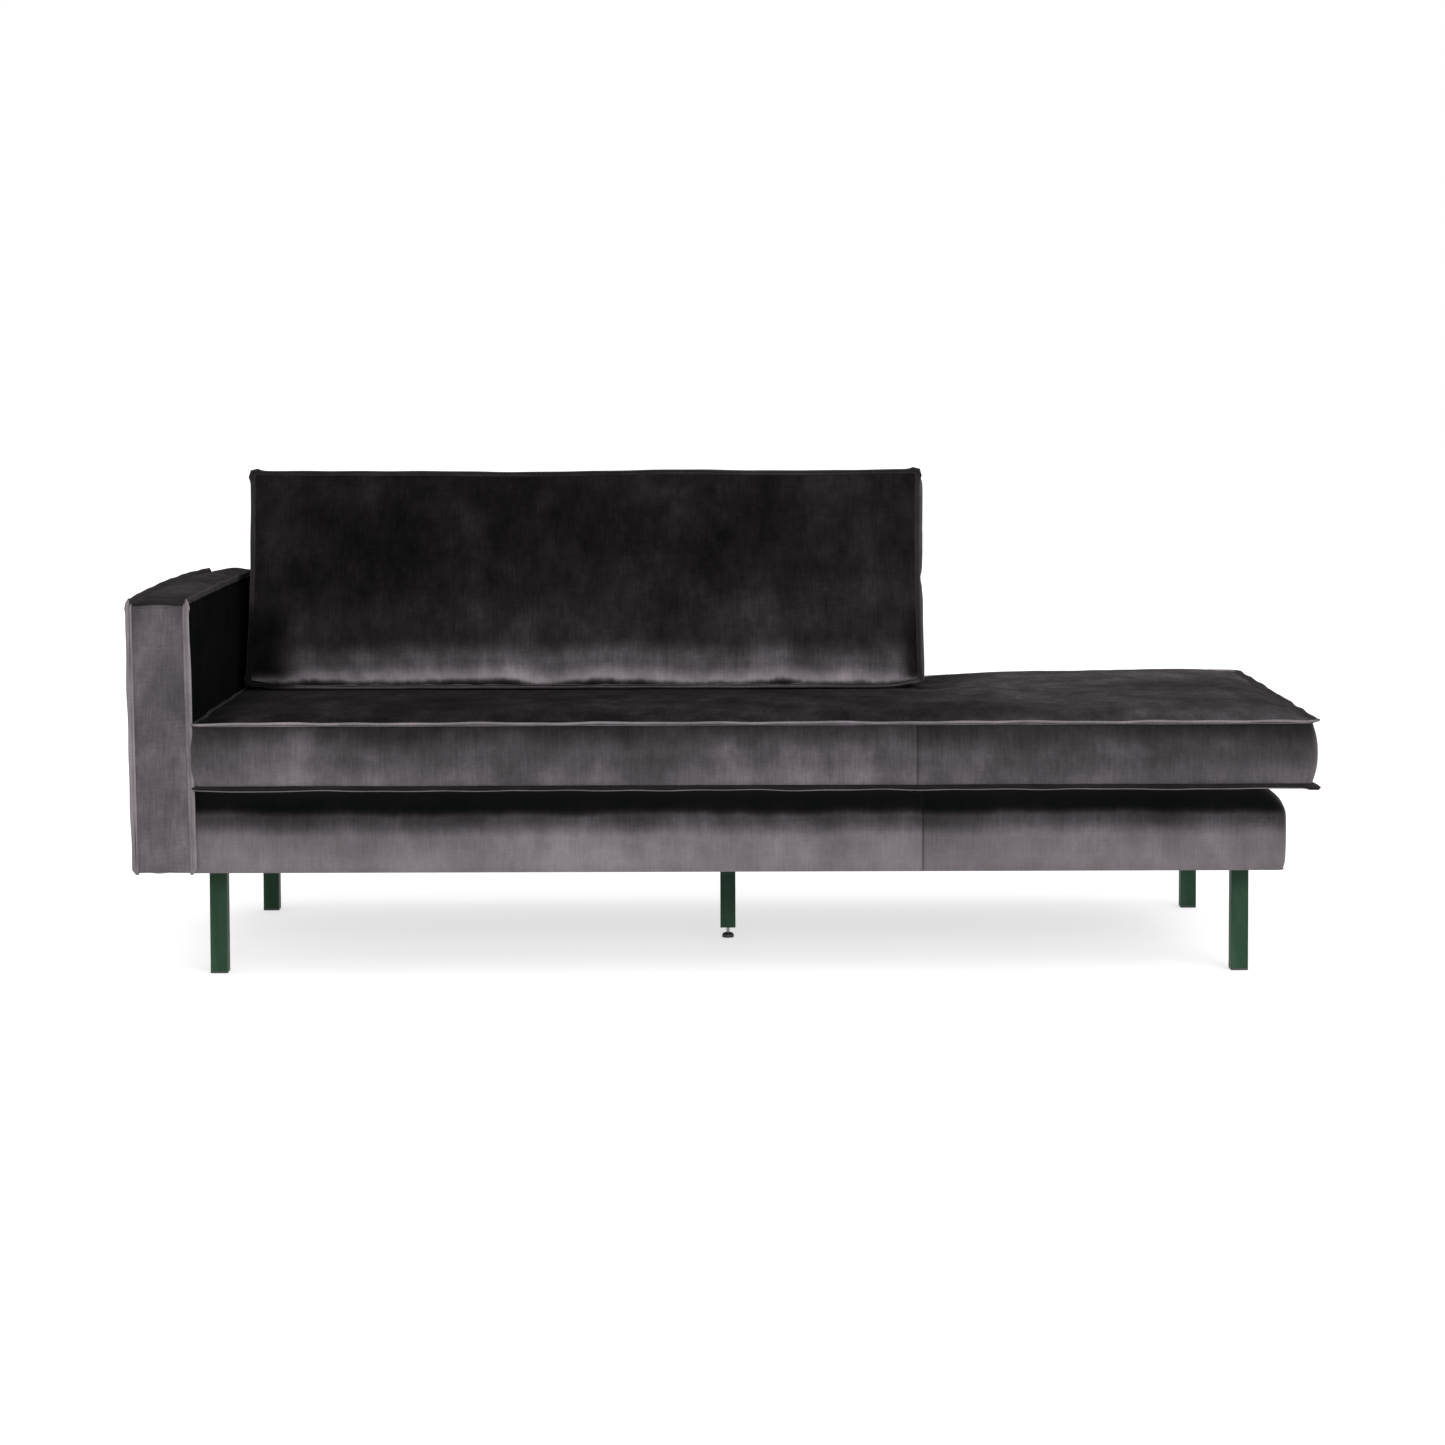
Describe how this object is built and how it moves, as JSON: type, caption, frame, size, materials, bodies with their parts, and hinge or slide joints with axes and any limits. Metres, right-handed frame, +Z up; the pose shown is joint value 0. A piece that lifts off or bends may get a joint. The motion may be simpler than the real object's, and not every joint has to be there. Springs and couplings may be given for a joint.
{
  "type": "daybed",
  "caption": "Low velvet daybed with one arm, a part-length back, a long loose seat cushion, a loose back cushion, square green steel legs and a levelling centre foot.",
  "frame": {"origin": "on the floor, under the centre of the bounding box", "axes": "+Z up, +X along the daybed from the arm to the open end, +Y from the front to the back"},
  "size_m": [2.03, 0.86, 0.8555],
  "materials": {
    "velvet": "dark warm grey velvet with a short brushed pile and a fine upright rib",
    "foam": "cut upholstery foam",
    "timber": "planed softwood",
    "board": "hardboard",
    "spring_steel": "drawn spring wire",
    "green_steel": "dark green satin powder coat",
    "plastic": "moulded black plastic",
    "zinc": "bright zinc plate",
    "lining": "black non-woven lining",
    "tape": "woven zip tape with closed coil teeth"
  },
  "bodies": {
    "root": {"arm_band": "velvet", "arm_bottom_rail": "timber", "arm_front_post": "timber", "arm_inner_foam": "foam", "arm_inner_panel": "velvet", "arm_outer_foam": "foam", "arm_outer_panel": "velvet", "arm_rear_post": "timber", "arm_top_rail": "timber", "back_board": "board", "back_cover": "velvet", "back_foam": "foam", "back_left_post": "timber", "back_right_post": "timber", "back_top_rail": "timber", "base_centre_beam": "timber", "base_cover": "velvet", "base_front_rail": "timber", "base_left_rail": "timber", "base_rear_rail": "timber", "base_right_batten": "timber", "base_right_rail": "timber", "centre_leg_insert": "plastic", "deck_foam": "foam", "dust_cover": "lining", "glide_front_left": "plastic", "glide_front_right": "plastic", "glide_rear_left": "plastic", "glide_rear_right": "plastic", "leg_centre": "green_steel", "leg_centre_bolt_front": "zinc", "leg_centre_bolt_rear": "zinc", "leg_front_left": "green_steel", "leg_front_left_bolt_front": "zinc", "leg_front_left_bolt_rear": "zinc", "leg_front_right": "green_steel", "leg_front_right_bolt_front": "zinc", "leg_front_right_bolt_rear": "zinc", "leg_rear_left": "green_steel", "leg_rear_left_bolt_front": "zinc", "leg_rear_left_bolt_rear": "zinc", "leg_rear_right": "green_steel", "leg_rear_right_bolt_front": "zinc", "leg_rear_right_bolt_rear": "zinc", "zigzag_spring_1": "spring_steel", "zigzag_spring_2": "spring_steel", "zigzag_spring_3": "spring_steel", "zigzag_spring_4": "spring_steel", "zigzag_spring_5": "spring_steel", "zigzag_spring_6": "spring_steel"},
    "seat_cushion": {"seat_core": "foam", "seat_cover": "velvet", "seat_zip": "tape"},
    "seat_zip_slider": {"seat_zip_slider": "zinc"},
    "back_cushion": {"back_cushion_core": "foam", "back_cushion_cover": "velvet", "back_cushion_zip": "tape"},
    "back_cushion_zip_slider": {"back_cushion_zip_slider": "zinc"},
    "levelling_pad": {"levelling_pad": "plastic"},
    "levelling_stem": {"levelling_stem": "zinc"}
  },
  "joints": [
    {"name": "seat_cushion_lift", "type": "slide", "parent": "root", "child": "seat_cushion", "axis": [0, 0, 1], "range_m": [0, 0.35]},
    {"name": "seat_zip_slide", "type": "slide", "parent": "seat_cushion", "child": "seat_zip_slider", "axis": [-1, 0, 0], "range_m": [0, 0.98]},
    {"name": "back_cushion_lift", "type": "slide", "parent": "seat_cushion", "child": "back_cushion", "axis": [0, 0, 1], "range_m": [0, 0.3]},
    {"name": "back_cushion_zip_slide", "type": "slide", "parent": "back_cushion", "child": "back_cushion_zip_slider", "axis": [-1, 0, 0], "range_m": [0, 0.98]},
    {"name": "foot_height", "type": "slide", "parent": "root", "child": "levelling_pad", "axis": [0, 0, 1], "range_m": [-0.015, 0.009]},
    {"name": "foot_turn", "type": "hinge", "parent": "levelling_pad", "child": "levelling_stem", "pos_m": [0.009, 0.016, 0.01], "axis": [0, 0, 1], "range_deg": [-5400, 3240]}
  ],
  "couplings": [
    {"joint": "foot_turn", "follows": "foot_height", "rad_per_m": 6283.2}
  ]
}
